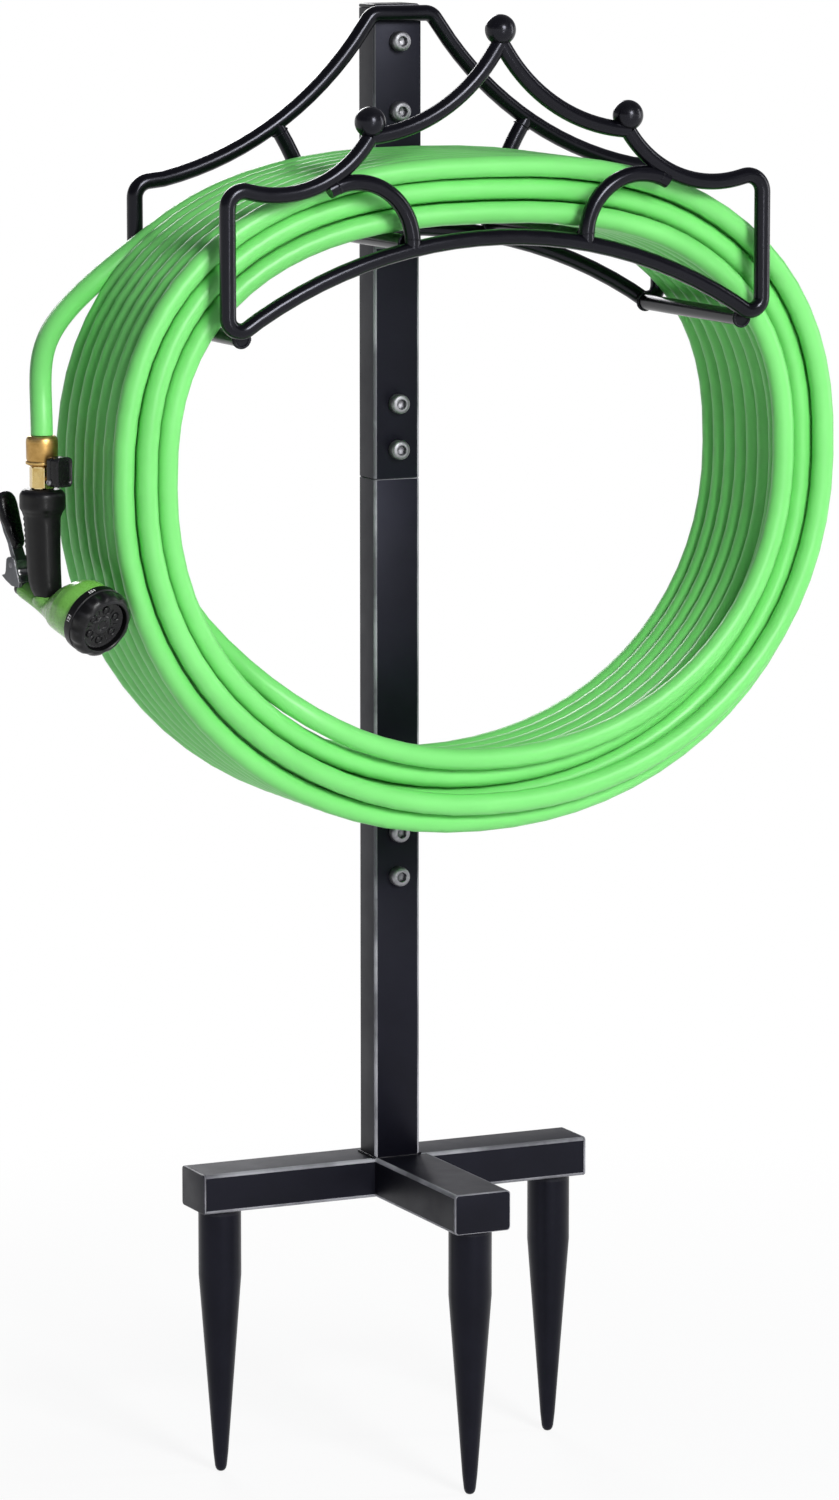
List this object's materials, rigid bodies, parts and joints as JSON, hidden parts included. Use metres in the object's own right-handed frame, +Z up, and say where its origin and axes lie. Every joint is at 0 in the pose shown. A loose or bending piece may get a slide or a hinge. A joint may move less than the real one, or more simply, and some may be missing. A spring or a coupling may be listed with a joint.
{
  "type": "hose stand",
  "caption": "Freestanding garden hose stand: post on a staked foot, wire basket with ball finials, coiled hose and trigger nozzle.",
  "frame": {"origin": "on the ground plane through the stake tips, centred in width and depth on the stand without its hose", "axes": "+Z up the post, -Y towards the front where the hose hangs, +X to the right seen from the front"},
  "size_m": [0.6854, 0.245, 1.1873],
  "materials": {
    "black_steel": "glossy black powder coat",
    "black_plastic": "satin moulded plastic",
    "zinc_screw": "dull zinc plate",
    "hose_green": "soft satin hose skin",
    "brass": "satin machined brass",
    "green_plastic": "semi gloss moulded plastic",
    "grey_metal": "satin grey paint"
  },
  "bodies": {
    "stand": {"lower_post_section": "black_steel", "middle_post_section": "black_steel", "upper_post_section": "black_steel", "upper_sleeve": "black_steel", "lower_sleeve": "black_steel", "post_cap": "black_plastic", "crossbar": "black_steel", "left_end_plate": "black_steel", "right_end_plate": "black_steel", "front_leg": "black_steel", "front_end_plate": "black_steel", "left_stake": "black_steel", "right_stake": "black_steel", "front_stake": "black_steel", "basket_plate": "black_steel", "plate_screw_1": "zinc_screw", "plate_screw_2": "zinc_screw", "upper_screw_1": "zinc_screw", "upper_screw_2": "zinc_screw", "lower_screw_1": "zinc_screw", "lower_screw_2": "zinc_screw", "plate_nut_1": "zinc_screw", "plate_nut_2": "zinc_screw", "upper_nut_1": "zinc_screw", "upper_nut_2": "zinc_screw", "lower_nut_1": "zinc_screw", "lower_nut_2": "zinc_screw", "front_frame_rod": "black_steel", "left_swoop_rod": "black_steel", "right_swoop_rod": "black_steel", "left_front_brace": "black_steel", "right_front_brace": "black_steel", "left_ball": "black_steel", "right_ball": "black_steel", "centre_ball": "black_steel", "back_frame_rod": "black_steel", "left_back_brace": "black_steel", "right_back_brace": "black_steel", "left_saddle_rod": "black_steel", "right_saddle_rod": "black_steel", "left_corner_rod": "black_steel", "right_corner_rod": "black_steel"},
    "hose": {"hose_coil": "hose_green", "hose_lead": "hose_green", "tail_coupling": "brass", "coupling_nut": "brass", "valve_body": "brass", "grip_handle": "black_plastic", "trigger_bracket": "grey_metal", "trigger_pin": "zinc_screw", "spray_body": "green_plastic"},
    "trigger": {"trigger_lever": "grey_metal", "trigger_pad": "black_plastic"},
    "dial": {"spray_dial": "black_plastic", "spray_face": "black_plastic"},
    "valve": {"valve_stem": "brass", "valve_lever": "black_plastic"},
    "tail_nut": {"tail_swivel_nut": "brass"}
  },
  "joints": [
    {"name": "hose_lift", "type": "slide", "parent": "stand", "child": "hose", "axis": [0, 0, 1], "range_m": [0, 0.2]},
    {"name": "trigger_squeeze", "type": "hinge", "parent": "hose", "child": "trigger", "pos_m": [-0.36, -0.00746, 0.7685], "axis": [0.9489, 0.3156, 0], "range_deg": [0, 15], "stiffness_Nm_per_rad": 0.3},
    {"name": "dial_turn", "type": "hinge", "parent": "hose", "child": "dial", "pos_m": [-0.33322, -0.08794, 0.73618], "axis": [0.2927, -0.8798, -0.3746], "continuous": true},
    {"name": "valve_turn", "type": "hinge", "parent": "hose", "child": "valve", "pos_m": [-0.351, -0.0345, 0.83825], "axis": [0.3156, -0.9489, 0], "range_deg": [0, 90]},
    {"name": "tail_nut_turn", "type": "hinge", "parent": "hose", "child": "tail_nut", "pos_m": [-0.24009, 0.03384, 0.85556], "axis": [0.0153, 0.276, 0.961], "continuous": true}
  ]
}
